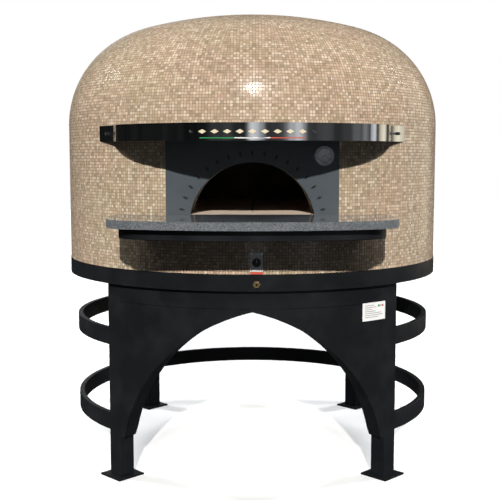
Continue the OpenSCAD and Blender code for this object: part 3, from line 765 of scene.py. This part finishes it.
def plates(name, outlines, depth, place, slot, body="oven", material=None):
    """One piece made of several thin plates."""
    bm = bmesh.new()
    for outline in outlines:
        slab(bm, outline, depth, place)
    bmesh.ops.recalc_face_normals(bm, faces=bm.faces)
    return add_piece(name, mesh_from(bm, name), slot, body=body, material=material)


def on_hood(u, v, depth):
    """A place on the hood's face: u along its arc, v above its lower edge."""
    turn = u / HOOD_ARC_R
    r = HOOD_ARC_R + PROUD - depth
    x, y, z = r * math.sin(turn), HOOD_LOW.y + HOOD_ARC_R - r * math.cos(turn), v
    c, s = math.cos(HOOD_TILT), math.sin(HOOD_TILT)
    back = y - HOOD_TIP_Y
    return x, HOOD_TIP_Y + back * c - z * s, HOOD_Z + back * s + z * c


def make_hood_line():
    """The thin line under the hood's marks, in three colours end to end."""
    third, low, high, thick = 0.126, 0.0075, 0.0110, 0.001
    for i, (name, slot, material) in enumerate((("green", "ornament_enamel", "stripe_green"),
                                                ("white", "plate_white", "plate_white"),
                                                ("red", "marking_red", "marking_red"))):
        start = (i - 1.5) * third
        outline = strip_outline(start, start + third, low, high, 12)
        plates("hood_line_" + name, [outline], thick, on_hood, slot, material=material)


def make_facade_marks():
    """Lozenges round the mouth, where an arch's voussoirs would be."""
    count, first, ring_r = 17, 13, MOUTH_R + 0.036
    half_long, half_wide, thick = 0.013, 0.0055, 0.0012
    marks = []
    for i in range(count):
        turn = math.radians(first + (180 - 2 * first) * i / (count - 1))
        middle = (ring_r * math.cos(turn), MOUTH_Z + ring_r * math.sin(turn))
        marks.append(lozenge(*middle, half_long, half_wide, turn))
    plates("facade_marks", marks, thick, lambda u, v, d: (u, FACADE_LOW.y - PROUD + d, v), "black_paint",
           material="ink")


def make_dial_marks():
    """Ticks and plain numbers over the range that the needle sweeps."""
    x, z = (DIAL_LOW.x + DIAL_HIGH.x) / 2, (DIAL_LOW.z + DIAL_HIGH.z) / 2
    front = DIAL_LOW.y - PROUD_THIN
    start, sweep = math.radians(215), math.radians(250)
    tick_count, per_number = 50, 10
    outer, inner_long, inner_short, half_bold, half_fine = 0.0265, 0.0225, 0.0245, 0.0006, 0.0003
    ticks = []
    for i in range(tick_count + 1):
        turn = start - sweep * i / tick_count
        inner, wide = (inner_long, half_bold) if i % per_number == 0 else (inner_short, half_fine)
        c, s = math.cos(turn), math.sin(turn)
        ticks.append([(x + r * c - w * s, z + r * s + w * c)
                      for r, w in ((inner, -wide), (outer, -wide), (outer, wide), (inner, wide))])
    plates("dial_ticks", ticks, MARK_T, lambda u, v, d: (u, front + d, v), "dial_face", material="ink")
    numbers, number_r = tick_count // per_number, 0.0178
    for i in range(numbers + 1):
        turn = start - sweep * i / numbers
        place = (x + number_r * math.cos(turn), front, z + number_r * math.sin(turn))
        dial_number(f"dial_number_{i}", str(i * 100), place)


def dial_number(name, text, place):
    curve = bpy.data.curves.new(name, "FONT")
    curve.body = text
    curve.size = 0.0056
    curve.extrude = 0.0001
    curve.align_x = "CENTER"
    curve.align_y = "CENTER"
    curve.materials.append(MATERIALS["ink"])
    number = bpy.data.objects.new(name, curve)
    number.location = place
    number.rotation_euler = (math.pi / 2, 0, 0)
    bpy.context.scene.collection.objects.link(number)
    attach(number, "oven")


def make_knob_marks():
    """A white pointer on the knob's grip, two dots on the plate that it points at, and a bar below."""
    low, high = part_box("control_knob")
    x, z = (low.x + high.x) / 2, (low.z + high.z) / 2
    half, foot, shoulder, tip, proud, thick = 0.0011, 0.002, 0.0125, 0.0132, 0.0003, 0.0008
    pointer = [(x - half, z + foot), (x + half, z + foot), (x + half, z + shoulder), (x, z + tip),
               (x - half, z + shoulder)]
    plates("knob_pointer", [pointer], thick, lambda u, v, d: (u, low.y - proud + d, v), "plate_white",
           body="knob")
    ring_r, dot_r = (high.x - low.x) / 2 + 0.0045, 0.0012
    dots = [disc_outline(x, z + ring_r, dot_r), disc_outline(x + ring_r, z, dot_r)]
    bar_half_w, bar_half_h, bar_z = 0.013, 0.0007, PLATE_LOW.z + 0.009
    bar = [(x + a * bar_half_w, bar_z + b * bar_half_h) for a, b in ((-1, -1), (1, -1), (1, 1), (-1, 1))]
    plates("plate_marks", dots + [bar], MARK_T, lambda u, v, d: (u, PLATE_LOW.y - PROUD_THIN + d, v),
           "switch_plastic", material="ink")


def on_label(u, v, depth):
    """A place on the curved data plate's face: u round it from its middle, v above its lower edge."""
    turn = LABEL_TURN + u / LABEL_R
    radius = LABEL_R + PROUD_THIN - depth
    return radius * math.sin(turn), -radius * math.cos(turn), LABEL_LOW.z + v


def make_label_marks():
    """Plain bars and three small colour fields on the data plate."""
    height = LABEL_HIGH.z - LABEL_LOW.z
    left, bar_h, first_drop, line_gap = -0.052, 0.003, 0.010, 0.008
    bars = []
    for i, length in enumerate((0.050, 0.062, 0.040, 0.058, 0.090, 0.100, 0.074)):
        top = height - first_drop - i * line_gap
        bars.append(strip_outline(left, left + length, top - bar_h, top, 8))
    plates("label_bars", bars, MARK_T, on_label, "plate_white", material="label_grey")
    field_w, field_low, field_high = 0.009, height - 0.020, height - 0.011
    for name, u, material in (("green", 0.020, "stripe_green"), ("grey", 0.032, "label_grey"),
                              ("red", 0.044, "marking_red")):
        field = strip_outline(u, u + field_w, field_low, field_high, 4)
        plates("label_field_" + name, [field], MARK_T, on_label, "plate_white", material=material)


# ---------- scene ----------

make_camera()
make_world(colour=(0.93, 0.95, 1.0), strength=0.05)
make_lamps()
stage_drum("backdrop", radius=20, height=20, material=white_backdrop(), seen_by="camera")
stage_drum("surroundings", radius=12, height=7, material=surroundings(), seen_by="glossy")
make_floor(studio_floor())
soften_nodes(dress_nodes())
make_shelf()
make_mosaic()
make_hood_line()
make_facade_marks()
make_dial_marks()
make_knob_marks()
make_label_marks()
bpy.context.scene.view_settings.view_transform = "Standard"
